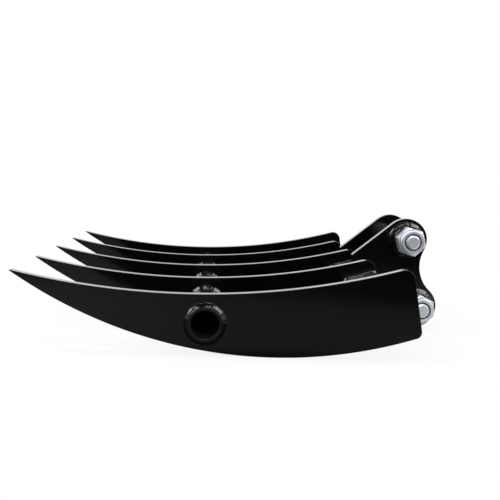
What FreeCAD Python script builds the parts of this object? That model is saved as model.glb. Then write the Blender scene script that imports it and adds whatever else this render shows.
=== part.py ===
import FreeCAD, Part
import math
import os
from FreeCAD import Vector

# Excavator rake: five curved plate tines are threaded on a round pipe and notched over a square tube.
# Two ear plates stand on the tube, and each pin position has a long bolt with a nylon-insert lock nut.
# Lengths are in millimetres and angles in degrees.
# The side view is drawn with X towards the ears, Z up and the pipe's centre as its origin.
# Y runs across the rake, with the nuts on the -Y side. The finished parts are then laid on the floor.

# Tines
tine_count = 5
overall_width = 609.6
tine_plate = 12.7
back_radius = 567.0
back_low_x = 102.9
back_low_z = -42.85
face_radius = 960.0
face_low_x = 11.9
face_low_z = 35.95
heel_x = 263.0
heel_tilt = 8.3
heel_top_corner = 12.7
heel_bottom_corner = 8.0
tip_radius = 0.5

# Round pipe through every tine
pipe_radius = 21.1
pipe_wall = 3.6
pipe_stand_out = 8.0
pipe_fit = 0.4

# Square tube between the outer tines
tube_size = 50.8
tube_wall = 6.35
tube_corner = 6.0
tube_bore_corner = 1.6
tube_x = 223.4
tube_z = 12.7
tube_tilt = 13.8
tube_fit = 0.3
lip_setback = 5.0

# Ear plates
ear_plate = 12.7
ear_gap = 101.6
upper_pin_x = 300.4
upper_pin_z = 79.3
pin_centres = 101.6
pin_line_tilt = 8.6
lobe_radius = 31.75
waist_radius = 51.3
ear_front_x = 219.2
ear_shoulder_z = 57.5

# Bosses on the ears' outer faces
boss_radius = 22.5
boss_height = 19.0
boss_edge = 1.0

# Weld beads
pipe_bead = 5.0
tube_bead = 4.0
ear_bead = 6.0
boss_bead = 5.0
bead_toe = 0.3

# Bolts
bolt_radius = 12.7
bolt_clearance = 0.1
across_flats = 38.1
head_height = 15.5
thread_root_radius = 10.8
end_face_radius = 7.9
root_cone = 1.2
root_land = 0.7
end_chamfer = 1.6
bolt_past_nut = 1.5

# Lock nuts, seen in section from the boss outwards
nut_hex_height = 18.5
collar_height = 7.5
collar_radius = 17.8
collar_crown = 2.5
collar_lip = 1.4
mouth_radius = 13.3
insert_radius = 16.5
insert_height = 5.4
insert_gap = 0.3
insert_lip_radius = 11.15
insert_lip = 0.4
hex_edge_angle = 30.0
upper_nut_angle = 43.3
lower_nut_angle = 32.0

# Sizes that follow from the driving ones
pitch = (overall_width - tine_plate) / (tine_count - 1)
tine_places = [pitch * (i - (tine_count - 1) / 2) for i in range(tine_count)]
outer_inside = overall_width / 2 - tine_plate
back_centre = (back_low_x, back_low_z + back_radius)
face_centre = (face_low_x, face_low_z + face_radius)
tilt = math.radians(tube_tilt)
along_tube_top = (math.cos(tilt), math.sin(tilt))
off_tube_top = (-math.sin(tilt), math.cos(tilt))
upper_pin = (upper_pin_x, upper_pin_z)
lower_pin = (
    upper_pin_x + pin_centres * math.sin(math.radians(pin_line_tilt)),
    upper_pin_z - pin_centres * math.cos(math.radians(pin_line_tilt)),
)
ear_inside = ear_gap / 2
ear_outside = ear_inside + ear_plate
boss_face = ear_outside + boss_height
hole_radius = bolt_radius + bolt_clearance
nut_height = nut_hex_height + collar_height
trim_size = 4 * tube_size


def point(place, y=0.0):
    """A point of the side view, at a distance across the rake."""
    return Vector(place[0], y, place[1])


def step(start, *moves):
    """The place reached from start by moves of (distance, direction)."""
    x, z = start
    for distance, direction in moves:
        x += distance * direction[0]
        z += distance * direction[1]
    return (x, z)


def unit(start, end):
    """The direction from one place to another."""
    length = math.hypot(end[0] - start[0], end[1] - start[1])
    return ((end[0] - start[0]) / length, (end[1] - start[1]) / length)


def at_angle(centre, radius, angle):
    """The place on a circle at an angle in radians."""
    return (centre[0] + radius * math.cos(angle), centre[1] + radius * math.sin(angle))


def line(start, end):
    return Part.makeLine(point(start), point(end))


def arc(start, middle, end):
    return Part.Arc(point(start), point(middle), point(end)).toShape()


def arc_about(centre, start, end, outward):
    """An arc from start to end round a centre, passing the side that outward points to."""
    middle = step(centre, (math.dist(centre, start), outward))
    return arc(start, middle, end)


def plate(edges, y, thickness):
    """A flat plate cut to the outline, from y and as thick as stated."""
    face = Part.Face(Part.Wire(edges))
    solid = face.extrude(Vector(0, thickness, 0))
    solid.translate(Vector(0, y, 0))
    return solid


def round_corner(solid, place, radius):
    """Round the edge across the plate that is nearest to a place in the side view."""
    def distance(edge):
        middle = edge.CenterOfMass
        return math.hypot(middle.x - place[0], middle.z - place[1])

    across = [
        edge for edge in solid.Edges
        if abs(edge.Vertexes[0].X - edge.Vertexes[-1].X) < 1e-6
        and abs(edge.Vertexes[0].Z - edge.Vertexes[-1].Z) < 1e-6
        and abs(edge.Vertexes[0].Y - edge.Vertexes[-1].Y) > 1e-3
    ]
    return solid.makeFillet(radius, [min(across, key=distance)])


def cylinder(place, radius, y, length):
    """A round bar or hole along Y."""
    return Part.makeCylinder(radius, length, point(place, y), Vector(0, 1, 0))


def turned(profile, place, y, direction):
    """A solid of revolution about a pin's axis, from (radius, height) points measured from y."""
    corners = [Vector(radius, 0, height) for radius, height in profile]
    face = Part.Face(Part.makePolygon(corners + corners[:1]))
    solid = face.revolve(Vector(0, 0, 0), Vector(0, 0, 1), 360)
    solid.rotate(Vector(0, 0, 0), Vector(1, 0, 0), -90 * direction)
    solid.translate(point(place, y))
    return solid


def circles_meet(centre, radius, other, other_radius):
    """The left-hand place where two circles cross."""
    gap = math.dist(centre, other)
    along = (gap ** 2 + radius ** 2 - other_radius ** 2) / (2 * gap)
    aside = math.sqrt(radius ** 2 - along ** 2)
    way = unit(centre, other)
    places = [
        step(centre, (along, way), (side * aside, (-way[1], way[0])))
        for side in (1, -1)
    ]
    return min(places)


def line_meets_circle(start, way, centre, radius):
    """The lower place where a line crosses a circle."""
    to_centre = (centre[0] - start[0], centre[1] - start[1])
    along = to_centre[0] * way[0] + to_centre[1] * way[1]
    aside = to_centre[0] * way[1] - to_centre[1] * way[0]
    half_chord = math.sqrt(radius ** 2 - aside ** 2)
    places = [step(start, (along + side * half_chord, way)) for side in (1, -1)]
    return min(places, key=lambda place: place[1])


def tangent_point(centre, radius, place, side):
    """Where the line from an outside place touches a circle, on one side or the other."""
    direction = math.atan2(place[1] - centre[1], place[0] - centre[0])
    spread = math.acos(radius / math.dist(centre, place))
    return at_angle(centre, radius, direction + side * spread)


# Tines: one crescent between two arcs, cut off at the heel
def crescent(heel_place, heel_way, y):
    """A tine blank. The heel line passes heel_place and points up along heel_way."""
    tip = circles_meet(face_centre, face_radius, back_centre, back_radius)
    heel_top = line_meets_circle(heel_place, heel_way, face_centre, face_radius)
    heel_bottom = line_meets_circle(heel_place, heel_way, back_centre, back_radius)
    down = (0, -1)
    edges = [
        arc_about(back_centre, tip, heel_bottom, down),
        line(heel_bottom, heel_top),
        arc_about(face_centre, heel_top, tip, down),
    ]
    blank = plate(edges, y - tine_plate / 2, tine_plate)
    blank = round_corner(blank, heel_top, heel_top_corner)
    blank = round_corner(blank, heel_bottom, heel_bottom_corner)
    blank = round_corner(blank, tip, tip_radius)
    hole = cylinder((0, 0), pipe_radius + pipe_fit, y - tine_plate, 2 * tine_plate)
    return blank.cut(hole)


def outer_tine(y):
    """An end tine, which covers the end of the square tube."""
    lean = math.radians(heel_tilt)
    return crescent((heel_x, 0), (-math.sin(lean), math.cos(lean)), y)


def inner_tine(y):
    """A middle tine, notched over the square tube and cut back behind its far face."""
    lip_end = step((tube_x, tube_z), (tube_size / 2 - lip_setback, along_tube_top))
    blank = crescent(lip_end, off_tube_top, y)
    notch = rounded_square(tube_size + 2 * tube_fit, tube_corner + tube_fit, y - tine_plate, 2 * tine_plate)
    mouth = tube_box(0, tube_size, tube_size / 2 + tube_fit, y - tine_plate, 2 * tine_plate)
    return blank.cut(notch.fuse(mouth))


# Square tube and what is cut to its outline
def tube_box(start, end, half_height, y, length):
    """A box in the tube's own directions, from start to end along its top face."""
    box = Part.makeBox(end - start, length, 2 * half_height, Vector(start, 0, -half_height))
    return on_tube(box, y)


def on_tube(solid, y):
    """Turn a solid drawn square about the origin to the tube's tilt and put it on the tube."""
    solid.rotate(Vector(0, 0, 0), Vector(0, 1, 0), -tube_tilt)
    solid.translate(point((tube_x, tube_z), y))
    return solid


def rounded_square(size, corner, y, length):
    """A bar of the tube's section, from y and as long as stated."""
    bar = Part.makeBox(size, length, size, Vector(-size / 2, 0, -size / 2))
    long_edges = [e for e in bar.Edges if abs(e.Vertexes[0].Y - e.Vertexes[-1].Y) > length / 2]
    return on_tube(bar.makeFillet(corner, long_edges), y)


def square_tube():
    outer = rounded_square(tube_size, tube_corner, -outer_inside, 2 * outer_inside)
    inner_size = tube_size - 2 * tube_wall
    bore = rounded_square(inner_size, tube_bore_corner, -outer_inside, 2 * outer_inside)
    return outer.cut(bore)


def round_pipe():
    end = overall_width / 2 + pipe_stand_out
    outer = cylinder((0, 0), pipe_radius, -end, 2 * end)
    return outer.cut(cylinder((0, 0), pipe_radius - pipe_wall, -end, 2 * end))


# Ear plates
def ear(y):
    """An ear with two equal lobes, a round waist between them and a seat cut for the square tube."""
    half = tube_size / 2
    straight = half - tube_corner
    tube = (tube_x, tube_z)
    shoulder = (ear_front_x, ear_shoulder_z)
    rise = half + tube_fit
    foot_run = (ear_front_x - tube_x - rise * off_tube_top[0]) / along_tube_top[0]
    foot = step(tube, (foot_run, along_tube_top), (rise, off_tube_top))
    seat_top = step(tube, (straight, along_tube_top), (rise, off_tube_top))
    seat_side = step(tube, (rise, along_tube_top), (straight, off_tube_top))
    seat_end = step(tube, (rise, along_tube_top), (-straight, off_tube_top))
    seat_centre = step(tube, (straight, along_tube_top), (straight, off_tube_top))

    down_pins = unit(upper_pin, lower_pin)
    away = (-down_pins[1], down_pins[0])
    between = step(upper_pin, (pin_centres / 2, down_pins))
    reach = lobe_radius + waist_radius
    waist = step(between, (math.sqrt(reach ** 2 - (pin_centres / 2) ** 2), away))
    upper_start = tangent_point(upper_pin, lobe_radius, shoulder, -1)
    upper_end = step(upper_pin, (lobe_radius, unit(upper_pin, waist)))
    lower_start = step(lower_pin, (lobe_radius, unit(lower_pin, waist)))
    lower_end = tangent_point(lower_pin, lobe_radius, seat_end, 1)

    edges = [
        line(foot, shoulder),
        line(shoulder, upper_start),
        arc_about(upper_pin, upper_start, upper_end, lobe_side(upper_pin, upper_start, upper_end)),
        arc_about(waist, upper_end, lower_start, (-away[0], -away[1])),
        arc_about(lower_pin, lower_start, lower_end, lobe_side(lower_pin, lower_start, lower_end)),
        line(lower_end, seat_end),
        line(seat_end, seat_side),
        arc_about(seat_centre, seat_side, seat_top, unit(tube, seat_centre)),
        line(seat_top, foot),
    ]
    blank = plate(edges, y - ear_plate / 2, ear_plate)
    for pin in (upper_pin, lower_pin):
        blank = blank.cut(cylinder(pin, hole_radius, y - ear_plate, 2 * ear_plate))
    return blank


def lobe_side(centre, start, end):
    """The direction half way round a lobe, going clockwise from start to end."""
    first = math.atan2(start[1] - centre[1], start[0] - centre[0])
    last = math.atan2(end[1] - centre[1], end[0] - centre[0])
    sweep = (first - last) % (2 * math.pi)
    return at_angle((0, 0), 1, first - sweep / 2)


def boss(pin, side):
    """A round boss on an ear's outer face, with its outer edge broken."""
    profile = [
        (hole_radius, 0),
        (boss_radius, 0),
        (boss_radius, boss_height - boss_edge),
        (boss_radius - boss_edge, boss_height),
        (hole_radius, boss_height),
    ]
    return turned(profile, pin, side * ear_outside, side)


# Weld beads
def ring_bead(place, radius, leg, y, side):
    """A fillet weld round a bar or boss, on a plate's face at y."""
    profile = [(radius, 0), (radius + leg, 0), (radius + bead_toe, leg), (radius, leg)]
    return turned(profile, place, y, side)


def square_bead(leg, y, side):
    """A fillet weld round the square tube, on a plate's face at y."""
    def outline(grow, at):
        bar = rounded_square(tube_size + 2 * grow, tube_corner + grow, 0, 1)
        face = min(bar.Faces, key=lambda f: f.CenterOfMass.y)
        wire = face.OuterWire
        wire.translate(Vector(0, at, 0))
        return wire

    cone = Part.makeLoft([outline(leg, y), outline(bead_toe, y + side * leg)], True, True)
    start = min(y, y + side * leg) - leg
    return cone.cut(rounded_square(tube_size, tube_corner, start, 3 * leg))


def tine_tube_bead(y, side, inner):
    """The weld between the tube and a tine: three sides of a notched tine, or all round."""
    bead = square_bead(tube_bead, y, side)
    if inner:
        end = tube_size / 2 - lip_setback
        trim = tube_box(-trim_size, end, trim_size, y - trim_size / 2, trim_size)
        bead = bead.common(trim)
    return bead


def ear_tube_bead(y, side):
    """The weld between the tube and an ear, along the tube's top and far faces."""
    bead = square_bead(ear_bead, y, side)
    half = tube_size / 2
    foot_run = (ear_front_x - tube_x - half * off_tube_top[0]) / along_tube_top[0]
    corner = Vector(foot_run, -trim_size / 2, tube_corner - half)
    keep = Part.makeBox(trim_size, trim_size, trim_size, corner)
    return bead.common(on_tube(keep, y))


# Bolts and lock nuts
def hexagon(place, angle, y, height, side, edge_side):
    """A hexagon along Y, its corners turned down in a shallow cone at one end."""
    corner_radius = across_flats / math.sqrt(3)
    corners = [
        point(at_angle(place, corner_radius, math.radians(angle + 60 * i)), y)
        for i in range(7)
    ]
    bar = Part.Face(Part.makePolygon(corners)).extrude(Vector(0, side * height, 0))
    flat = across_flats / 2
    drop = (corner_radius - flat) * math.tan(math.radians(hex_edge_angle))
    profile = [(0, 0), (corner_radius, 0), (corner_radius, height - drop), (flat, height), (0, height)]
    start = y if edge_side > 0 else y + side * height
    return bar.common(turned(profile, place, start, side * edge_side))


def bolt(pin):
    """A long hexagon bolt, put in from the +Y side, with its head on that side's boss."""
    length = 2 * boss_face + nut_height + bolt_past_nut
    chamfer_start = length - end_chamfer
    root_start = chamfer_start - root_land
    shank = [
        (0, 0),
        (bolt_radius, 0),
        (bolt_radius, root_start - root_cone),
        (thread_root_radius, root_start),
        (thread_root_radius, chamfer_start),
        (end_face_radius, length),
        (0, length),
    ]
    head = hexagon(pin, 0, boss_face, head_height, 1, 1)
    return turned(shank, pin, boss_face, -1).fuse(head)


def nut(pin, angle):
    """A hexagon nut whose collar holds the nylon insert. It is drawn outwards from the -Y boss."""
    bottom = nut_hex_height + insert_gap
    top = nut_height - collar_lip
    seat = insert_radius + insert_gap
    collar = [
        (hole_radius, 0),
        (collar_radius, 0),
        (collar_radius, nut_height - collar_crown),
        (collar_radius - collar_crown, nut_height),
        (mouth_radius, nut_height),
        (mouth_radius, top),
        (seat, top),
        (seat, bottom),
        (hole_radius, bottom),
    ]
    body = turned(collar, pin, -boss_face, -1)
    hexagon_part = hexagon(pin, angle, -boss_face, nut_hex_height, -1, 1)
    bore = cylinder(pin, hole_radius, -boss_face - nut_height, nut_height + 1)
    return body.fuse(hexagon_part.cut(bore))


def insert(pin):
    """The nylon ring in the nut's collar, with a thin lip that closes round the bolt's end."""
    bottom = nut_hex_height + insert_gap
    top = bottom + insert_height
    lip_edge = mouth_radius - insert_gap
    ring = [
        (hole_radius, bottom),
        (insert_radius, bottom),
        (insert_radius, top),
        (lip_edge, top),
        (lip_edge, nut_height),
        (insert_lip_radius, nut_height),
        (insert_lip_radius, nut_height - insert_lip),
        (hole_radius, top + insert_gap),
    ]
    return turned(ring, pin, -boss_face, -1)


# Laying the rake down: the floor touches the tines' backs and the ears' lower lobes
pin_run = lower_pin[0] - back_centre[0]
pin_drop = back_centre[1] - lower_pin[1]
floor_turn = math.acos((back_radius - lobe_radius) / math.hypot(pin_run, pin_drop))
lie = floor_turn - math.atan2(pin_run, pin_drop)
floor_height = back_centre[0] * math.sin(lie) + back_centre[1] * math.cos(lie) - back_radius


def laid_x(place):
    """Where a place of the side view comes along X once the rake is laid down."""
    return place[0] * math.cos(lie) - place[1] * math.sin(lie)


tip_x = laid_x(circles_meet(face_centre, face_radius, back_centre, back_radius))
ear_end_x = max(laid_x(upper_pin), laid_x(lower_pin)) + lobe_radius
middle_x = (tip_x + ear_end_x) / 2


def lay_down(shape):
    """Turn a finished shape to its lying attitude, on the floor and centred along X."""
    shape.rotate(Vector(0, 0, 0), Vector(0, 1, 0), -math.degrees(lie))
    shape.translate(Vector(-middle_x, 0, -floor_height))
    return shape


# The nodes, each a list of separate solids
def weldment():
    """Every piece that is welded together."""
    nodes = {"cross_pipe": [round_pipe()], "cross_tube": [square_tube()]}
    last = tine_count - 1
    for i, y in enumerate(tine_places):
        name = str(i + 1)
        inner = 0 < i < last
        nodes["tine_" + name] = [inner_tine(y) if inner else outer_tine(y)]
        faces = [(y + side * tine_plate / 2, side) for side in (-1, 1)]
        nodes["pipe_weld_" + name] = [
            ring_bead((0, 0), pipe_radius, pipe_bead, face, side) for face, side in faces
        ]
        nodes["tube_weld_" + name] = [
            tine_tube_bead(face, side, inner)
            for face, side in faces
            if abs(face) < outer_inside + tine_plate / 2
        ]
    for where, side in (("nut_side", -1), ("head_side", 1)):
        middle = side * (ear_inside + ear_plate / 2)
        nodes[where + "_ear"] = [ear(middle)]
        nodes[where + "_ear_weld"] = [
            ear_tube_bead(side * ear_inside, -side),
            ear_tube_bead(side * ear_outside, side),
        ]
        for pin_name, pin in (("upper", upper_pin), ("lower", lower_pin)):
            name = where + "_" + pin_name + "_boss"
            nodes[name] = [boss(pin, side)]
            nodes[name + "_weld"] = [ring_bead(pin, boss_radius, boss_bead, side * ear_outside, side)]
    return nodes


def fasteners():
    """The bolts, nuts and inserts, which come off."""
    nodes = {}
    for name, pin, angle in (
        ("upper", upper_pin, upper_nut_angle),
        ("lower", lower_pin, lower_nut_angle),
    ):
        nodes[name + "_bolt"] = [bolt(pin)]
        nodes[name + "_nut"] = [nut(pin, angle)]
        nodes[name + "_nut_insert"] = [insert(pin)]
    return nodes


os.makedirs("parts", exist_ok=True)
for node, solids in {**weldment(), **fasteners()}.items():
    shapes = [lay_down(solid) for solid in solids]
    whole = shapes[0] if len(shapes) == 1 else Part.makeCompound(shapes)
    whole.exportStep("parts/" + node + ".step")
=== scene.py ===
import math

import bmesh
import bpy
from mathutils import Matrix, Vector, geometry, noise


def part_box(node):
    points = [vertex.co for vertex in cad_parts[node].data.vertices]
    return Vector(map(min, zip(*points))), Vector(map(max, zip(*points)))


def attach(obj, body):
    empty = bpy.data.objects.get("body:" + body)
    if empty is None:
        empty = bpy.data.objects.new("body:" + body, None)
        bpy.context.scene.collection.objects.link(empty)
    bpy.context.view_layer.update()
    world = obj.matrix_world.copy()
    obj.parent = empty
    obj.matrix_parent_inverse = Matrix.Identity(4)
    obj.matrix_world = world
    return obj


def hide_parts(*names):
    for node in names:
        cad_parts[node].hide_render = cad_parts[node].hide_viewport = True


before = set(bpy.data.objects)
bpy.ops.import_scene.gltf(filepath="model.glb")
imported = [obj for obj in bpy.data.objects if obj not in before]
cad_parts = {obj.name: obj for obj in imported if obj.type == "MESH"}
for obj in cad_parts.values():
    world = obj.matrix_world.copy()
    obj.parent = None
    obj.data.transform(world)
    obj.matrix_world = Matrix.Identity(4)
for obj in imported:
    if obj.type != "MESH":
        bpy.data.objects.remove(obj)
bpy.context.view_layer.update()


# Side view
# Every plate is drawn in the side view, in metres, with the pipe's centre as its origin.
# The rake then lies on the floor a little tipped, on its tines' backs and its ears' lower lobes.
def centre_of(node):
    low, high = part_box(node)
    return (low + high) / 2


pipe_centre = centre_of("cross_pipe")
upper_pin = Vector((0.3004, 0.0793))
upper_pin_laid = centre_of("nut_side_upper_boss") - pipe_centre
lie = math.atan2(upper_pin_laid.z, upper_pin_laid.x) - math.atan2(upper_pin.y, upper_pin.x)
lay_down = Matrix.Translation(pipe_centre) @ Matrix.Rotation(-lie, 4, "Y")
lower_pin = (lay_down.inverted() @ centre_of("nut_side_lower_boss")).xz
arc_step = 0.004
fewest_arc_steps = 8
round_steps = 96
merge_distance = 1e-6
drill_overrun = 0.01


def at(place, y=0.0):
    """A place of the side view, at a distance across the rake."""
    return Vector((place[0], y, place[1]))


def arc_to(bm, start, centre, end):
    """Sweep a vertex about a centre to the place of end, the short way round."""
    first = at(start.co.xz) - at(centre)
    last = at(end) - at(centre)
    turn = math.atan2(last.z, last.x) - math.atan2(first.z, first.x)
    turn = (turn + math.pi) % (2 * math.pi) - math.pi
    steps = max(fewest_arc_steps, math.ceil(abs(turn) * first.length / arc_step))
    swept = bmesh.ops.spin(
        bm, geom=[start], cent=at(centre), axis=(0, -1, 0), angle=turn, steps=steps
    )
    return next(item for item in swept["geom_last"] if isinstance(item, bmesh.types.BMVert))


def cut_plate(start, moves, y_low, y_high):
    """A flat plate. Each move of its outline is a place, or a centre and a place for an arc."""
    bm = bmesh.new()
    here = bm.verts.new(at(start))
    for move in moves:
        if isinstance(move, tuple):
            here = arc_to(bm, here, *move)
        else:
            there = bm.verts.new(at(move))
            bm.edges.new((here, there))
            here = there
    bmesh.ops.remove_doubles(bm, verts=bm.verts[:], dist=merge_distance)
    bmesh.ops.contextual_create(bm, geom=bm.edges[:])
    thick = bmesh.ops.extrude_face_region(bm, geom=bm.faces[:])
    grown = [item for item in thick["geom"] if isinstance(item, bmesh.types.BMVert)]
    bmesh.ops.translate(bm, verts=grown, vec=(0, y_high - y_low, 0))
    bmesh.ops.translate(bm, verts=bm.verts[:], vec=(0, y_low, 0))
    bmesh.ops.recalc_face_normals(bm, faces=bm.faces[:])
    return bm


def new_object(name, bm):
    mesh = bpy.data.meshes.new(name)
    bm.to_mesh(mesh)
    bm.free()
    made = bpy.data.objects.new(name, mesh)
    bpy.context.scene.collection.objects.link(made)
    return made


def combined(bm, tool, operation):
    """The mesh of bm with a tool cut from it, added to it or kept in common."""
    body = new_object("body_being_cut", bm)
    cutter = new_object("cutter", tool)
    boolean = body.modifiers.new("cut", "BOOLEAN")
    boolean.operation = operation
    boolean.solver = "EXACT"
    boolean.object = cutter
    cut = body.evaluated_get(bpy.context.evaluated_depsgraph_get()).to_mesh()
    result = bmesh.new()
    result.from_mesh(cut)
    bpy.data.objects.remove(body)
    bpy.data.objects.remove(cutter)
    return result


def round_bar(place, radius, y_low, y_high):
    """A round bar along Y, also to drill with."""
    bm = bmesh.new()
    turn = Matrix.Rotation(math.radians(90), 4, "X")
    bmesh.ops.create_cone(
        bm, cap_ends=True, segments=round_steps, radius1=radius, radius2=radius, depth=y_high - y_low,
        matrix=Matrix.Translation(at(place, (y_low + y_high) / 2)) @ turn,
    )
    return bm


sharp_angle = math.radians(20)
broken_edge_steps = 4
thin_end_length = 0.016
thin_end_share = 0.2


def show(name, bm, place, node, body, finish, broken_edge=0.0, thin_end=None):
    """Make a finished piece of bm: put it in place and break its edges, and let it stand for its node.

    Its edges are broken less and less towards a thin end.
    """
    bmesh.ops.transform(bm, matrix=place, verts=bm.verts[:])
    for face in bm.faces:
        face.smooth = True
    weight = bm.edges.layers.float.new("bevel_weight_edge")
    for edge in bm.edges:
        if edge.calc_face_angle(0) > sharp_angle:
            edge[weight] = 1
            if thin_end is not None:
                away = (edge.verts[0].co - thin_end) * Vector((1, 0, 1))
                edge[weight] = min(1, max(thin_end_share, away.length / thin_end_length))
    piece = new_object(name, bm)
    piece.data.materials.append(finish)
    if broken_edge:
        bevel = piece.modifiers.new("broken edges", "BEVEL")
        bevel.width = broken_edge
        bevel.segments = broken_edge_steps
        bevel.limit_method = "WEIGHT"
        bevel.harden_normals = True
        bevel.use_clamp_overlap = False
    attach(piece, body)
    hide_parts(node)
    return piece


# Finishes
# Each material, and the light of the room, is a small tree of nodes.
# A finish builds the tree, and a wire is one value in it that can be reckoned with.
class Wire:
    """A value in a finish. Python's arithmetic on it adds the Math nodes."""

    def __init__(self, finish, socket):
        self.finish = finish
        self.socket = socket

    def maths(self, operation, first, second):
        return self.finish.add("ShaderNodeMath", {"operation": operation}, {0: first, 1: second})

    def __add__(self, other):
        return self.maths("ADD", self, other)

    def __sub__(self, other):
        return self.maths("SUBTRACT", self, other)

    def __rsub__(self, other):
        return self.maths("SUBTRACT", other, self)

    def __mul__(self, other):
        return self.maths("MULTIPLY", self, other)

    __radd__ = __add__


class Finish:
    """A material or world that is put together from nodes."""

    def __init__(self, owner):
        owner.use_nodes = True
        self.nodes = owner.node_tree.nodes
        self.links = owner.node_tree.links

    def feed(self, socket, value):
        if isinstance(value, Wire):
            self.links.new(value.socket, socket)
        else:
            socket.default_value = value

    def add(self, kind, settings=None, inputs=None, output=0):
        """Add a node with its settings, its sockets' values or links, and give one output."""
        node = self.nodes.new(kind)
        for name, value in (settings or {}).items():
            setattr(node, name, value)
        for name, value in (inputs or {}).items():
            self.feed(node.inputs[name], value)
        return Wire(self, node.outputs[output])

    def speckle(self, scale, detail=2.0, stretch=(1, 1, 1)):
        """Noise between 0 and 1 in the piece's own place, with scale in waves to the metre."""
        place = self.add("ShaderNodeTexCoord", output="Object")
        place = self.add("ShaderNodeMapping", inputs={"Vector": place, "Scale": stretch})
        inputs = {"Vector": place, "Scale": scale, "Detail": detail}
        return self.add("ShaderNodeTexNoise", inputs=inputs)

    def blend(self, factor, first, second):
        """A colour between two others."""
        inputs = {0: factor, 6: (*first, 1), 7: (*second, 1)}
        return self.add("ShaderNodeMix", {"data_type": "RGBA"}, inputs, output=2)

    def bump(self, height, depth, below=None):
        """A normal for a height between 0 and 1 that stands for a depth in metres."""
        inputs = {"Height": height, "Distance": depth, "Strength": 1.0}
        if below is not None:
            inputs["Normal"] = below
        return self.add("ShaderNodeBump", inputs=inputs)

    def surface(self, **sockets):
        """Feed the Principled shader, with spaces for the underscores in the sockets' names."""
        shader = self.nodes["Principled BSDF"]
        for name, value in sockets.items():
            self.feed(shader.inputs[name.replace("_", " ")], value)


# Black powder coat
# Everything that is welded is blasted and coated as one, in a thick gloss black.
# The coat has a faint orange peel, and flows a little thinner and duller here and there.
def black_coat(name, peel_depth, duller, glossiest=0.09):
    """Black paint. Its peel is in metres, and it is duller than its glossiest here and there."""
    material = bpy.data.materials.new(name)
    finish = Finish(material)
    flow = finish.speckle(scale=9.0, detail=3.0)
    peel = finish.speckle(scale=420.0, detail=1.0)
    finish.surface(
        Base_Color=finish.blend(flow, (0.0010, 0.0010, 0.0011), (0.0018, 0.0018, 0.0018)),
        Roughness=glossiest + flow * duller,
        Specular_IOR_Level=0.5,
        Normal=finish.bump(peel, peel_depth),
    )
    return material


gloss_coat = black_coat("black_powder_coat", peel_depth=0.000008, duller=0.08)

# Tines
# Five crescents are cut from half-inch plate. The back and the working face are two long arcs
# that meet at the point. The two outer tines cap the square tube. The others are notched over it.
back_radius = 0.567
back_lowest_x = 0.1029
back_lowest_z = -0.04285
back_centre = Vector((back_lowest_x, back_lowest_z + back_radius))
face_radius = 0.960
face_lowest_x = 0.0119
face_lowest_z = 0.03595
face_centre = Vector((face_lowest_x, face_lowest_z + face_radius))
heel_x = 0.263
heel_lean = math.radians(8.3)
heel_top_corner = 0.0127
heel_bottom_corner = 0.008
plate_edge = 0.0006
pipe_radius = 0.0211
pipe_fit = 0.0004
tube_half = 0.0254
tube_corner = 0.006
tube_fit = 0.0003
tube_middle = Vector((0.2234, 0.0127))
tube_tilt = math.radians(13.8)
lip_setback = 0.005
tip_radius = 0.0005
along_top = Vector((math.cos(tube_tilt), math.sin(tube_tilt)))
off_top = Vector((-math.sin(tube_tilt), math.cos(tube_tilt)))
tip = min(
    geometry.intersect_sphere_sphere_2d(
        face_centre, face_radius + tip_radius, back_centre, back_radius - tip_radius
    ),
    key=lambda place: place.x,
)
tip_on_back = back_centre + back_radius * (tip - back_centre).normalized()
tip_on_face = face_centre + face_radius * (tip - face_centre).normalized()


def heel_corner(line_place, line_way, centre, arc_radius, corner, inside):
    """Where the rounding between the heel's line and a long arc starts and ends, and its centre."""
    inward = Vector((-line_way.y, line_way.x))
    shifted = line_place + corner * inward
    reach = arc_radius - corner if inside else arc_radius + corner
    crossings = geometry.intersect_line_sphere_2d(shifted, shifted + line_way, centre, reach, False)
    middle = min(crossings, key=lambda place: place.y)
    on_line = middle - corner * inward
    on_arc = centre + arc_radius * (middle - centre).normalized()
    return on_arc, middle, on_line


def on_tube(along, off):
    """A place of the side view given along and off the square tube's top face, from its middle."""
    return tube_middle + along * along_top + off * off_top


def tine_moves(line_place, line_way, notch):
    """The outline from the point along the back, up the heel and home along the face."""
    low_arc, low_middle, low_line = heel_corner(
        line_place, line_way, back_centre, back_radius, heel_bottom_corner, True
    )
    top_arc, top_middle, top_line = heel_corner(
        line_place, line_way, face_centre, face_radius, heel_top_corner, False
    )
    return [
        (back_centre, low_arc), (low_middle, low_line), *notch,
        top_line, (top_middle, top_arc), (face_centre, tip_on_face), (tip, tip_on_back),
    ]


notch_half = tube_half + tube_fit
tube_straight = tube_half - tube_corner
lip = tube_half - lip_setback
notch_moves = [
    on_tube(lip, -notch_half),
    on_tube(-tube_straight, -notch_half),
    (on_tube(-tube_straight, -tube_straight), on_tube(-notch_half, -tube_straight)),
    on_tube(-notch_half, tube_straight),
    (on_tube(-tube_straight, tube_straight), on_tube(-tube_straight, notch_half)),
    on_tube(lip, notch_half),
]
heel_way = Vector((-math.sin(heel_lean), math.cos(heel_lean)))
outer_moves = tine_moves(Vector((heel_x, 0)), heel_way, [])
inner_moves = tine_moves(on_tube(lip, 0), off_top, notch_moves)
tines = [node for node in sorted(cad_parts) if node.startswith("tine_")]

for tine in tines:
    low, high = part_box(tine)
    outer = tine in (tines[0], tines[-1])
    blank = cut_plate(tip_on_back, outer_moves if outer else inner_moves, low.y, high.y)
    drill = round_bar((0, 0), pipe_radius + pipe_fit, low.y - drill_overrun, high.y + drill_overrun)
    show("curved_" + tine, combined(blank, drill, "DIFFERENCE"), lay_down, tine, "root",
         gloss_coat, plate_edge, lay_down @ at(tip))


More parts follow.
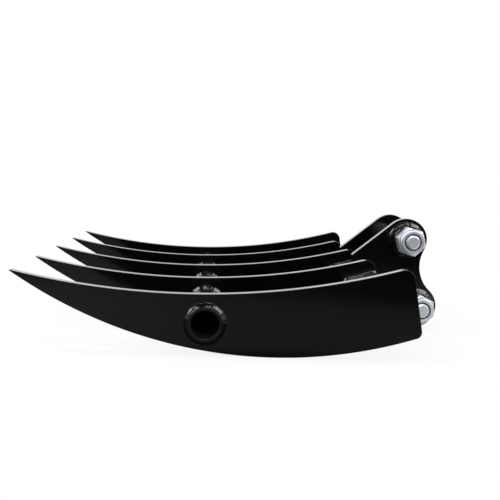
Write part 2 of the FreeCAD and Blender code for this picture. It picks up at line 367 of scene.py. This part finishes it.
# Round pipe
# A length of inch-and-a-quarter pipe runs through all five tines and stands a little out of each side.
# Its sawn ends are only broken with a file before it is coated.
def turned(profile, closed):
    """A shape turned about the Y axis from (radius, distance along Y) points."""
    bm = bmesh.new()
    verts = [bm.verts.new((radius, y, 0)) for radius, y in profile]
    pairs = list(zip(verts, verts[1:]))
    if closed:
        pairs.append((verts[-1], verts[0]))
    edges = [bm.edges.new(pair) for pair in pairs]
    bmesh.ops.spin(
        bm, geom=verts + edges, cent=(0, 0, 0), axis=(0, 1, 0), angle=2 * math.pi,
        steps=round_steps, use_merge=True,
    )
    bmesh.ops.remove_doubles(bm, verts=bm.verts[:], dist=merge_distance)
    bmesh.ops.recalc_face_normals(bm, faces=bm.faces[:])
    return bm


pipe_wall = 0.0036
pipe_edge = 0.0006
pipe_low, pipe_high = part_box("cross_pipe")
pipe_profile = [
    (pipe_radius - pipe_wall, pipe_low.y),
    (pipe_radius, pipe_low.y),
    (pipe_radius, pipe_high.y),
    (pipe_radius - pipe_wall, pipe_high.y),
]
pipe = turned(pipe_profile, True)
bore_reach = pipe_radius - 0.9 * pipe_wall
for pipe_face in pipe.faces:
    if (pipe_face.calc_center_median() * Vector((1, 0, 1))).length < bore_reach:
        pipe_face.material_index = 1
through_pipe = show("through_pipe", pipe, lay_down, "cross_pipe", "root", gloss_coat,
                    pipe_edge)
through_pipe.data.materials.append(
    black_coat("thin_coat_inside_pipe", peel_depth=0.000040, duller=0.3, glossiest=0.55)
)

# Square tube
# Two-inch tube with a quarter-inch wall joins the tines' heels. It is tipped to follow them.
# Its corners are the soft ones of rolled tube, and the outer tines close its ends.
tube_wall = 0.00635
tube_corner_steps = 8
tube_edge = 0.0003
tube_low, tube_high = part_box("cross_tube")
tube_place = lay_down @ Matrix.Translation(at(tube_middle)) @ Matrix.Rotation(-tube_tilt, 4, "Y")
tube = bmesh.new()
quarter = Matrix.Rotation(math.radians(90), 4, "X")
bmesh.ops.create_grid(tube, x_segments=1, y_segments=1, size=tube_half, matrix=quarter)
bmesh.ops.bevel(
    tube, geom=tube.verts[:], offset=tube_corner, segments=tube_corner_steps, profile=0.5,
    affect="VERTICES", material=-1,
)
bmesh.ops.delete(tube, geom=tube.faces[:], context="FACES_ONLY")
walls = bmesh.ops.extrude_edge_only(tube, edges=tube.edges[:])
drawn_out = [item for item in walls["geom"] if isinstance(item, bmesh.types.BMVert)]
bmesh.ops.translate(tube, verts=drawn_out, vec=(0, tube_high.y - tube_low.y, 0))
bmesh.ops.translate(tube, verts=tube.verts[:], vec=(0, tube_low.y, 0))
bmesh.ops.recalc_face_normals(tube, faces=tube.faces[:])
bmesh.ops.solidify(tube, geom=tube.faces[:], thickness=tube_wall)
bmesh.ops.recalc_face_normals(tube, faces=tube.faces[:])
show("square_cross_tube", tube, tube_place, "cross_tube", "root", gloss_coat,
     tube_edge)


# Weld beads
# Each joint is filled by hand with a fillet weld, a row of overlapping ripples with a wavering edge.
# The coat lies over it and fills its ripples a little.
weld_coat = black_coat("black_coat_on_welds", peel_depth=0.000006, duller=0.08)
bead_step = 0.0007
bead_sink = 0.0004
section_points = 9
roundness = 1.75
seed_step = 10


def bead(bm, corner, outward, side, leg, moves, seed):
    """Sweep a weld's section along a joint. Moves are ("run", vector) or ("turn", centre, angle)."""
    toward = Vector((0, side, 0))
    face = []
    for i in range(section_points):
        angle = math.radians(90) * i / (section_points - 1)
        face.append((leg * math.cos(angle) ** roundness, leg * math.sin(angle) ** roundness))
    outline = [(-bead_sink, -bead_sink), (leg, -bead_sink), *face, (-bead_sink, leg)]
    verts = [bm.verts.new(corner + outward * a + toward * b) for a, b in outline]
    edges = [bm.edges.new(pair) for pair in zip(verts, verts[1:] + verts[:1])]
    sections = [(0.0, verts)]
    along = 0.0
    geom = verts + edges
    for kind, *move in moves:
        if kind == "run":
            length = move[0].length
        else:
            length = abs(move[1]) * ((sections[-1][1][0].co - move[0]) * Vector((1, 0, 1))).length
        steps = max(2, math.ceil(length / bead_step))
        for _ in range(steps):
            if kind == "run":
                swept = bmesh.ops.spin(
                    bm, geom=geom, cent=(0, 0, 0), axis=(0, 1, 0), dvec=move[0] / steps, angle=0,
                    steps=1,
                )
            else:
                swept = bmesh.ops.spin(
                    bm, geom=geom, cent=move[0], axis=(0, -1, 0), angle=move[1] / steps, steps=1,
                )
            geom = swept["geom_last"]
            along += length / steps
            section = [item for item in geom if isinstance(item, bmesh.types.BMVert)]
            sections.append((along, section))
    closed = (sections[-1][1][0].co - sections[0][1][0].co).length < 10 * merge_distance
    if closed:
        bmesh.ops.weld_verts(bm, targetmap=dict(zip(sections.pop()[1], verts)))
    else:
        for _, end in (sections[0], sections[-1]):
            bmesh.ops.contextual_create(bm, geom=end)
    bmesh.ops.recalc_face_normals(bm, faces=bm.faces[:])
    ripple(bm, sections, along, leg, closed, seed)


ripple_pitch = 0.0029
ripple_height = 0.00008
ripple_bow = 0.45
ripple_lean = 0.7
pitch_drift = 0.5
pitch_drifts_per_metre = 60
lump_height = 0.0008
lumps_per_metre = 75
lumps_across = 1.2
fullness_height = 0.0014
fullness_per_metre = 18
toe_waver = 0.16
toe_wavers_per_metre = 90
fine_toe_waver = 0.6
fine_toe_wavers_per_metre = 260
toe_fade = 0.6
end_size = 0.55
toe_row = 0.5
fine_toe_row = 4.5
pitch_row = 8.5
fullness_row = 12.5


def drift(along, per_metre, seed, row):
    """Smooth noise along a weld. Each row of it is a noise of its own."""
    return noise.noise(Vector((along * per_metre, seed, row)))


def ripple(bm, sections, whole, leg, closed, seed):
    """Waver a swept weld's toes, taper its open ends and raise its ripples and lumps."""
    heights = {}
    for along, section in sections:
        root = section[0].co.copy()
        waver = drift(along, toe_wavers_per_metre, seed, toe_row)
        waver += fine_toe_waver * drift(along, fine_toe_wavers_per_metre, seed, fine_toe_row)
        shift = pitch_drift * drift(along, pitch_drifts_per_metre, seed, pitch_row)
        full = drift(along, fullness_per_metre, seed, fullness_row)
        size = 1 + toe_waver * waver
        if not closed:
            size *= min(1, end_size + (1 - end_size) * min(along, whole - along) / leg)
        for i, vert in enumerate(section[1:]):
            vert.co = root + (vert.co - root) * size
            across = (i - 1) / (section_points - 1)
            if 0 <= across <= 1:
                bow = ripple_bow * (2 * across - 1) ** 2
                phase = (along / ripple_pitch + bow + shift) % 1
                crest = math.sin(math.pi * phase ** ripple_lean)
                lump = noise.noise(Vector((along * lumps_per_metre, across * lumps_across, seed)))
                rise = ripple_height * crest + lump_height * lump + fullness_height * full
                heights[vert] = math.sin(math.pi * across) ** toe_fade * rise
    bm.normal_update()
    for vert, height in heights.items():
        vert.co += vert.normal * height


# Welds of the pipe
# A bead runs right round the pipe on both faces of every tine.
pipe_bead_leg = 0.005
pipe_bead_seed = 16.37
for i, tine in enumerate(tines):
    low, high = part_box(tine)
    rings = bmesh.new()
    for y, side in ((low.y, -1), (high.y, 1)):
        start = Vector((0, y, pipe_radius))
        circle = [("turn", Vector((0, y, 0)), 2 * math.pi)]
        seed = pipe_bead_seed + seed_step * i + side
        bead(rings, start, Vector((0, 0, 1)), side, pipe_bead_leg, circle, seed)
    show("weld_rings_on_pipe_" + str(i + 1), rings, lay_down, "pipe_weld_" + str(i + 1), "root",
         weld_coat)

# Welds of the square tube
# The notched tines are welded along the tube's three covered sides, and the outer tines right round
# its end. The beads are drawn in the tube's own directions, along and off its top face.
tube_bead_leg = 0.004
tube_bead_seed = 167.37


def tube_turn(along_sign, off_sign, y):
    """A quarter turn round one of the tube's corners, the way that goes clockwise in the side view."""
    return ("turn", Vector((along_sign * tube_straight, y, off_sign * tube_straight)), -math.pi / 2)


def tube_run(along, off):
    return ("run", Vector((along, 0, off)))


for i, tine in enumerate(tines):
    low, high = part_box(tine)
    outer = tine in (tines[0], tines[-1])
    beads = bmesh.new()
    for y, side in ((low.y, -1), (high.y, 1)):
        if outer and abs(y) > tube_high.y + bead_sink:
            continue
        if outer:
            start = Vector((0, y, -tube_half))
            moves = [
                tube_run(-tube_straight, 0), tube_turn(-1, -1, y),
                tube_run(0, 2 * tube_straight), tube_turn(-1, 1, y),
                tube_run(2 * tube_straight, 0), tube_turn(1, 1, y),
                tube_run(0, -2 * tube_straight), tube_turn(1, -1, y),
                tube_run(-tube_straight, 0),
            ]
        else:
            start = Vector((lip, y, -tube_half))
            moves = [
                tube_run(-lip - tube_straight, 0), tube_turn(-1, -1, y),
                tube_run(0, 2 * tube_straight), tube_turn(-1, 1, y),
                tube_run(lip + tube_straight, 0),
            ]
        seed = tube_bead_seed + seed_step * i + side
        bead(beads, start, Vector((0, 0, -1)), side, tube_bead_leg, moves, seed)
    show("welds_on_tube_" + str(i + 1), beads, tube_place, "tube_weld_" + str(i + 1), "root",
         weld_coat)

# Ear plates
# Two ears are cut from the same plate, each with a lobe for either pin and a round waist between them.
# A seat is cut for the square tube's top and far side.
lobe_radius = 0.03175
waist_radius = 0.0513
ear_front_x = 0.2192
ear_shoulder_z = 0.0575
ear_hole_radius = 0.0128


def tangent_place(centre, radius, place, side):
    """Where the line from an outside place touches a circle, on one side or the other."""
    reach = place - centre
    angle = math.atan2(reach.y, reach.x) + side * math.acos(radius / reach.length)
    return centre + radius * Vector((math.cos(angle), math.sin(angle)))


ear_shoulder = Vector((ear_front_x, ear_shoulder_z))
foot_along = (ear_front_x - tube_middle.x - notch_half * off_top.x) / along_top.x
seat_end = on_tube(notch_half, -tube_straight)
pins_middle = (upper_pin + lower_pin) / 2
pins_way = (lower_pin - upper_pin).normalized()
waist_reach = math.sqrt((lobe_radius + waist_radius) ** 2 - ((lower_pin - upper_pin).length / 2) ** 2)
waist = pins_middle + waist_reach * Vector((-pins_way.y, pins_way.x))
ear_start = on_tube(foot_along, notch_half)
ear_moves = [
    ear_shoulder,
    tangent_place(upper_pin, lobe_radius, ear_shoulder, -1),
    (upper_pin, upper_pin + lobe_radius * (waist - upper_pin).normalized()),
    (waist, lower_pin + lobe_radius * (waist - lower_pin).normalized()),
    (lower_pin, lower_pin + lobe_radius * pins_way),
    (lower_pin, tangent_place(lower_pin, lobe_radius, seat_end, 1)),
    seat_end,
    on_tube(notch_half, tube_straight),
    (on_tube(tube_straight, tube_straight), on_tube(tube_straight, notch_half)),
    ear_start,
]
ears = ("nut_side_ear", "head_side_ear")
for ear in ears:
    low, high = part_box(ear)
    blank = cut_plate(ear_start, ear_moves, low.y, high.y)
    for pin in (upper_pin, lower_pin):
        drill = round_bar(pin, ear_hole_radius, low.y - drill_overrun, high.y + drill_overrun)
        blank = combined(blank, drill, "DIFFERENCE")
    show("lobed_" + ear, blank, lay_down, ear, "root", gloss_coat, plate_edge)

# Welds of the ears
# Each ear is welded to the tube's top and far side, along both of its faces.
ear_bead_leg = 0.006
ear_bead_seed = 200
seeds_per_metre = 100
for ear in ears:
    low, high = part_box(ear)
    beads = bmesh.new()
    for y, side in ((low.y, -1), (high.y, 1)):
        start = Vector((foot_along, y, tube_half))
        moves = [
            tube_run(tube_straight - foot_along, 0), tube_turn(1, 1, y),
            tube_run(0, -2 * tube_straight),
        ]
        seed = ear_bead_seed + seeds_per_metre * y
        bead(beads, start, Vector((0, 0, 1)), side, ear_bead_leg, moves, seed)
    show("welds_on_" + ear, beads, tube_place, ear + "_weld", "root", weld_coat)


# Bosses
# A turned boss on the outer face of each lobe gives the bolt a longer bearing. Its rim is chamfered.
# It is welded to the ear all round, and the bolt's head or nut bears on its face.
def about(pin):
    """The place of a piece that is turned about a pin's line."""
    return lay_down @ Matrix.Translation(at(pin))


pins = (("upper", upper_pin), ("lower", lower_pin))
boss_radius = 0.0225
boss_chamfer = 0.001
boss_edge = 0.0003
boss_bead_leg = 0.005
boss_bead_seed = 9.37
boss_seed_step = 77
for i, (pin_name, pin) in enumerate(pins):
    for where, side in (("nut_side_", -1), ("head_side_", 1)):
        node = where + pin_name + "_boss"
        low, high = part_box(node)
        foot, rim = (low.y, high.y) if side > 0 else (high.y, low.y)
        profile = [
            (ear_hole_radius, foot),
            (boss_radius, foot),
            (boss_radius, rim - side * boss_chamfer),
            (boss_radius - boss_chamfer, rim),
            (ear_hole_radius, rim),
        ]
        show("turned_" + node, turned(profile, True), about(pin), node, "root", gloss_coat,
             boss_edge)
        ring = bmesh.new()
        start = Vector((0, foot, boss_radius))
        circle = [("turn", Vector((0, foot, 0)), 2 * math.pi)]
        seed = boss_bead_seed + boss_seed_step * i + side
        bead(ring, start, Vector((0, 0, 1)), side, boss_bead_leg, circle, seed)
        show("weld_ring_on_" + node, ring, about(pin), node + "_weld", "root", weld_coat)


# Bolts
# Two one-inch bolts are the pins, with a hexagon head, a plain shank and eight threads to the inch.
# They are zinc plated, a bluish grey that is a little uneven, and their ends are turned flat.
def zinc(name, rougher, ring_depth):
    """Zinc plate over turned steel. Its turned rings are in metres, across the Y axis."""
    material = bpy.data.materials.new(name)
    finish = Finish(material)
    cloud = finish.speckle(scale=60.0, detail=3.0)
    grain = finish.speckle(scale=1400.0, detail=2.0)
    rings = finish.speckle(scale=900.0, detail=1.0, stretch=(0.2, 6, 0.2))
    grain_depth = 0.000006
    finish.surface(
        Base_Color=finish.blend(cloud, (0.62, 0.64, 0.71), (0.72, 0.74, 0.80)),
        Metallic=0.8,
        Roughness=0.3 + cloud * rougher,
        Normal=finish.bump(rings, ring_depth, below=finish.bump(grain, grain_depth)),
    )
    return material


bolt_zinc = zinc("bolt_zinc_plate", rougher=0.2, ring_depth=0.000004)
bolt_radius = 0.0127
across_flats = 0.0381
head_height = 0.0155
head_overlap = 0.001
head_chamfer = math.radians(28)
head_chamfer_setback = 0.0004
past_corner = 0.001
past_corner_drop = 0.0012
thread_pitch = 0.003175
thread_root = 0.0108
thread_length = 0.038
thread_steps = 72
spare_turns = 2
thread_into_end = 0.0002
thread_into_shank = 0.0005
core_gap = 0.0001
core_taper = 0.002
end_radius = 0.0103
end_cone = 0.0035
end_land = 0.0027
end_chamfer = 0.0016
end_flat = 0.0079
end_disc = 0.0005
bolt_edge = 0.00015


def hexagon(angle, y_low, y_high, chamfered_at):
    """A hexagon bar along Y with its corners turned off in a cone at one end."""
    corner_radius = across_flats / math.sqrt(3)
    bar = bmesh.new()
    turn = Matrix.Rotation(math.radians(90), 4, "X")
    bmesh.ops.create_cone(
        bar, cap_ends=True, segments=6, radius1=corner_radius, radius2=corner_radius,
        depth=y_high - y_low,
        matrix=Matrix.Translation((0, (y_low + y_high) / 2, 0)) @ turn,
    )
    corner = next(vert for vert in bar.verts if vert.co.y > (y_low + y_high) / 2)
    now = math.atan2(corner.co.z, corner.co.x)
    spin_to = Matrix.Rotation(now - angle, 4, "Y")
    bmesh.ops.transform(bar, matrix=spin_to, verts=bar.verts[:])
    drop = (corner_radius - across_flats / 2) * math.tan(head_chamfer)
    other = y_low if chamfered_at == y_high else y_high
    inward = 1 if other > chamfered_at else -1
    cone = [
        (0, chamfered_at),
        (across_flats / 2 - head_chamfer_setback, chamfered_at),
        (corner_radius + past_corner, chamfered_at + inward * (drop + past_corner_drop)),
        (corner_radius + past_corner, other + inward * past_corner),
        (0, other + inward * past_corner),
    ]
    return combined(bar, turned(cone, False), "INTERSECT")


def thread(y_low, y_high):
    """A helical thread between two planes, open inside, to lie over a core."""
    bm = bmesh.new()
    start = y_low - spare_turns * thread_pitch
    turns = math.ceil((y_high - y_low) / thread_pitch) + 2 * spare_turns
    shares = ((bolt_radius, 0), (bolt_radius, 0.125), (thread_root, 0.4375), (thread_root, 0.6875))
    places = [
        (radius, start + (k + share) * thread_pitch)
        for k in range(turns)
        for radius, share in shares
    ]
    verts = [bm.verts.new((radius, y, 0)) for radius, y in places]
    edges = [bm.edges.new(pair) for pair in zip(verts, verts[1:])]
    rise = Vector((0, thread_pitch / thread_steps, 0))
    bmesh.ops.spin(
        bm, geom=verts + edges, cent=(0, 0, 0), axis=(0, 1, 0), dvec=rise, angle=2 * math.pi,
        steps=thread_steps,
    )
    bmesh.ops.remove_doubles(bm, verts=bm.verts[:], dist=merge_distance)
    for y, normal in ((y_low, (0, -1, 0)), (y_high, (0, 1, 0))):
        cut = bmesh.ops.bisect_plane(
            bm, geom=bm.verts[:] + bm.edges[:] + bm.faces[:], plane_co=(0, y, 0),
            plane_no=normal, clear_outer=True,
        )
        rim = [item for item in cut["geom_cut"] if isinstance(item, bmesh.types.BMEdge)]
        bmesh.ops.contextual_create(bm, geom=rim)
    bmesh.ops.recalc_face_normals(bm, faces=bm.faces[:])
    return bm


def joined(bm, other):
    """Add the mesh of other to bm."""
    mesh = bpy.data.meshes.new("joining")
    other.to_mesh(mesh)
    other.free()
    bm.from_mesh(mesh)
    bpy.data.meshes.remove(mesh)
    return bm


for pin_name, pin in pins:
    node = pin_name + "_bolt"
    low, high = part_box(node)
    seat = high.y - head_height
    core = thread_root - core_gap
    thread_start = low.y + end_cone + thread_into_end
    thread_end = low.y + thread_length - thread_into_shank
    shank = [
        (0, seat + head_overlap),
        (bolt_radius, seat + head_overlap),
        (bolt_radius, low.y + thread_length),
        (core, low.y + thread_length - core_taper),
        (core, low.y + end_cone + end_disc),
        (bolt_radius, low.y + end_cone + end_disc),
        (bolt_radius, low.y + end_cone),
        (end_radius, low.y + end_land),
        (end_radius, low.y + end_chamfer),
        (end_flat, low.y),
        (0, low.y),
    ]
    made = turned(shank, False)
    made = joined(made, thread(thread_start, thread_end))
    made = joined(made, hexagon(0, seat, high.y, high.y))
    show("long_" + node, made, about(pin), node, node, bolt_zinc, bolt_edge)

# Lock nuts
# Each nut has a hexagon, chamfered towards a plain round collar. The collar's lip is rolled over a
# nylon ring. The nuts are turned bright and zinc plated.
nut_zinc = zinc("nut_zinc_plate", rougher=0.16, ring_depth=0.000010)
hex_height = 0.0185
hex_hole_gap = 0.001
collar_radius = 0.0178
collar_crown = 0.0025
crown_steps = 6
collar_lip = 0.0014
collar_foot = 0.0008
mouth_radius = 0.0133
mouth_slope = 0.0003
rolled_radius = 0.0124
rolled_lip = 0.0007
ring_seat = 0.0168
ring_seat_gap = 0.0003
bore_radius = 0.0128
nut_edge = 0.00035
nut_angles = {"upper": math.radians(43.3), "lower": math.radians(32.0)}
for pin_name, pin in pins:
    node = pin_name + "_nut"
    low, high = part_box(node)
    hex_top = high.y - hex_height
    pocket = hex_top - ring_seat_gap
    crown = []
    for k in range(crown_steps + 1):
        angle_round = math.radians(90) * k / crown_steps
        crown.append((
            collar_radius - collar_crown * (1 - math.cos(angle_round)),
            low.y + collar_crown * (1 - math.sin(angle_round)),
        ))
    collar = [
        (bore_radius, high.y - collar_foot),
        (collar_radius, high.y - collar_foot),
        *crown,
        (rolled_radius, low.y),
        (rolled_radius, low.y + rolled_lip),
        (mouth_radius, low.y + rolled_lip + mouth_slope),
        (mouth_radius, low.y + collar_lip),
        (ring_seat, low.y + collar_lip),
        (ring_seat, pocket),
        (bore_radius, pocket),
    ]
    body = hexagon(nut_angles[pin_name], hex_top, high.y, hex_top)
    drill = round_bar(
        (0, 0), bore_radius + hex_hole_gap, hex_top - drill_overrun, high.y + drill_overrun
    )
    body = combined(body, drill, "DIFFERENCE")
    made = joined(body, turned(collar, True))
    show("collared_" + node, made, about(pin), node, node, nut_zinc, nut_edge)

# Nylon rings
# A dark blue-black nylon ring is trapped in each nut's collar and grips the thread.
# Its thin lip closes round the bolt's end.
nylon_material = bpy.data.materials.new("dark_nylon")
nylon = Finish(nylon_material)
nylon_grain_depth = 0.00001
nylon_tint = nylon.speckle(scale=300.0)
nylon.surface(
    Base_Color=nylon.blend(nylon_tint, (0.002, 0.003, 0.010), (0.005, 0.006, 0.018)),
    Roughness=0.6,
    Normal=nylon.bump(nylon.speckle(scale=900.0), nylon_grain_depth),
)
ring_radius = 0.0165
ring_shoulder_gap = 0.0004
ring_neck_radius = 0.0130
ring_neck_rise = 0.0006
ring_lip_outer = 0.0122
ring_lip_radius = 0.01065
ring_lip_gap = 0.0001
ring_lip = 0.0004
ring_edge = 0.0002
for pin_name, pin in pins:
    node = pin_name + "_nut_insert"
    low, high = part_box(node)
    shoulder = low.y + collar_lip + ring_shoulder_gap
    lip_face = low.y + rolled_lip + ring_lip_gap
    ring = [
        (bore_radius, high.y),
        (ring_radius, high.y),
        (ring_radius, shoulder),
        (ring_neck_radius, shoulder),
        (ring_neck_radius, low.y + rolled_lip + ring_neck_rise),
        (ring_lip_outer, lip_face),
        (ring_lip_radius, lip_face),
        (ring_lip_radius, low.y + rolled_lip + ring_lip),
        (bore_radius, shoulder),
    ]
    show("nylon_ring_of_" + pin_name + "_nut", turned(ring, True), about(pin), node,
         pin_name + "_insert", nylon_material, ring_edge)

# Floor
# A pale studio floor is white to the camera and keeps a faint shadow of the rake near it.
# To glossy rays the floor glows with painted light: a grey painted pool of light that ends in a
# slanting dark line in front.
# Painted light makes it brighter to the left and beside the nuts, and a painted shadow makes it dark
# under the rake.
floor_half_width = 3.0
floor_front = -1.7
floor_back = 4.0
floor_drop = 0.0002
floor_mesh = bmesh.new()
bmesh.ops.create_grid(floor_mesh, x_segments=1, y_segments=1, size=1)
floor_size = Matrix.Diagonal((floor_half_width, (floor_back - floor_front) / 2, 1, 1))
floor_place = Matrix.Translation((0, (floor_back + floor_front) / 2, -floor_drop))
bmesh.ops.transform(floor_mesh, matrix=floor_place @ floor_size, verts=floor_mesh.verts[:])
floor = new_object("studio_floor", floor_mesh)
floor_material = bpy.data.materials.new("pale_floor")
floor_finish = Finish(floor_material)


def ray_kind(finish, kind):
    return finish.add("ShaderNodeLightPath", output=kind)


def ramp(finish, value, low, high):
    """A smooth step from 0 to 1."""
    return finish.add(
        "ShaderNodeMapRange", {"interpolation_type": "SMOOTHSTEP"},
        {"Value": value, "From Min": low, "From Max": high},
    )


def parts_of(finish, kind):
    """The X, Y and Z of a texture coordinate."""
    split = finish.nodes.new("ShaderNodeSeparateXYZ")
    finish.feed(split.inputs[0], finish.add("ShaderNodeTexCoord", output=kind))
    return [Wire(finish, part) for part in split.outputs]


floor_x, floor_y, _ = parts_of(floor_finish, "Object")
seen_white = ray_kind(floor_finish, "Is Camera Ray") + ray_kind(floor_finish, "Is Transmission Ray")
glossy = ray_kind(floor_finish, "Is Glossy Ray")
mirror_dark = 0.02
mirror_grey = 0.17
painted_light_left_level = 0.2
painted_light_beside_level = 0.6
painted_shadow_strength = 0.85
light_slant = 0.31
light_starts = (-0.86, -0.78)
painted_light_left_from = 0.3
painted_light_left_starts = (0.2, 0.8)
painted_light_beside_x = (0.2, 0.3)
painted_light_beside_y = (-0.5, -0.35)
painted_shadow_x = (0.22, 0.3)
painted_shadow_y = (-0.37, -0.3)
# Painted light: the floor's glow to glossy rays is a grey pool of light with a slanting front edge.
in_light = ramp(floor_finish, floor_y - floor_x * light_slant, *light_starts)
# Painted light: the floor's glow to glossy rays grows brighter to the left, as if the light fell off
# to the right.
painted_light_to_left = ramp(floor_finish, painted_light_left_from - floor_x, *painted_light_left_starts)
# Painted light: a brighter patch of floor glow beside the nuts, seen in their reflections.
painted_light_beside_nuts = ramp(floor_finish, floor_x, *painted_light_beside_x) * ramp(floor_finish, floor_y, *painted_light_beside_y)
# Painted shadow: the floor's glow to glossy rays is darker under the rake, where its shadow falls.
painted_shadow_under_rake = ramp(floor_finish, floor_y, *painted_shadow_y) * (1 - ramp(floor_finish, floor_x, *painted_shadow_x))
mirror_level = mirror_dark + in_light * mirror_grey + in_light * painted_light_to_left * painted_light_left_level
mirror_level = mirror_level * (1 - painted_shadow_under_rake * painted_shadow_strength) + painted_light_beside_nuts * painted_light_beside_level
lit = floor_finish.add("ShaderNodeBsdfDiffuse", inputs={"Color": (0.8, 0.8, 0.8, 1)})
strength = seen_white + glossy * mirror_level
white = floor_finish.add("ShaderNodeEmission", inputs={"Color": (1, 1, 1, 1), "Strength": strength})
shadow_share = 0.15
shadow_fades_squared = (0.05, 0.5)
far = ramp(floor_finish, floor_x * floor_x + floor_y * floor_y, *shadow_fades_squared)
white_share = seen_white * (1 - shadow_share + far * shadow_share) + glossy
mixed = floor_finish.add("ShaderNodeMixShader", inputs={0: white_share, 1: lit, 2: white})
floor_finish.feed(floor_finish.nodes["Material Output"].inputs["Surface"], mixed)
floor.data.materials.append(floor_material)

# Studio light
# Soft boxes stand high to the left and right and in front, and a narrow one hangs over the near side.
# The room behind the rake is brightest a little above the floor and darker high up. The room in
# front is lit only in a low band.
world = bpy.data.worlds.new("studio")
bpy.context.scene.world = world
room = Finish(world)
seen = ray_kind(room, "Is Camera Ray") + ray_kind(room, "Is Transmission Ray")
_, room_y, room_z = parts_of(room, "Generated")
unlit_level = 0.03
back_level = 0.8
low_back_gain = 0.75
high_back_loss = 0.9
front_level = 0.8
back_starts = (-0.1, 0.3)
back_gains = (0.1, 0.2)
band_starts = (0.0, 0.2)
band_ends = (0.35, 0.6)
behind = ramp(room, room_y, *back_starts)
back = back_level + ramp(room, room_z, *back_gains) * low_back_gain
back = back - ramp(room, room_z, *band_ends) * high_back_loss
front_band = ramp(room, room_z, *band_starts) - ramp(room, room_z, *band_ends)
level = unlit_level + behind * back + (1 - behind) * front_band * front_level
room.feed(room.nodes["Background"].inputs["Color"], (1, 1, 1, 1))
room.feed(room.nodes["Background"].inputs["Strength"], seen + (1 - seen) * level)


def soft_box(name, place, aim, width, height, power):
    """A rectangular lamp that the camera doesn't see."""
    light = bpy.data.lights.new(name, "AREA")
    light.shape = "RECTANGLE"
    light.size = width
    light.size_y = height
    light.energy = power
    lamp = bpy.data.objects.new(name, light)
    bpy.context.scene.collection.objects.link(lamp)
    way = Vector(aim) - Vector(place)
    lamp.location = place
    lamp.rotation_euler = way.to_track_quat("-Z", "Y").to_euler()
    lamp.visible_camera = False


rake_middle = (0, 0, 0.05)
near_side = (0.07, -0.2, 0.05)
soft_box("left_soft_box", (-1.4, -0.3, 1.5), rake_middle, width=0.7, height=1.1, power=17)
soft_box("right_soft_box", (1.3, -0.15, 1.45), rake_middle, width=0.7, height=1.1, power=15)
soft_box("top_soft_box", (0.07, -0.34, 1.0), near_side, width=0.35, height=0.12, power=0.7)
soft_box("front_soft_box", (0.1, -1.7, 1.7), rake_middle, width=1.2, height=0.8, power=20)

# Camera
# It stands a little above the rake and in front of its points' side, at the photograph's angle.
# Its place is measured from the pipe's centre, in the side view's directions.
camera_data = bpy.data.cameras.new("camera")
camera_data.sensor_width = 36.0
camera_data.lens = 59.083
camera_data.clip_start = 0.05
camera = bpy.data.objects.new("camera", camera_data)
bpy.context.scene.collection.objects.link(camera)
camera_place = (0.00934, -1.28108, 0.18611)
camera_right_turn = math.radians(2.6345)
camera_down_tip = math.radians(5.6628)
camera.matrix_world = (
    lay_down
    @ Matrix.Translation(camera_place)
    @ Matrix.Rotation(-camera_right_turn, 4, "Z")
    @ Matrix.Rotation(math.radians(90) - camera_down_tip, 4, "X")
)
bpy.context.scene.camera = camera
bpy.context.scene.view_settings.view_transform = "Standard"
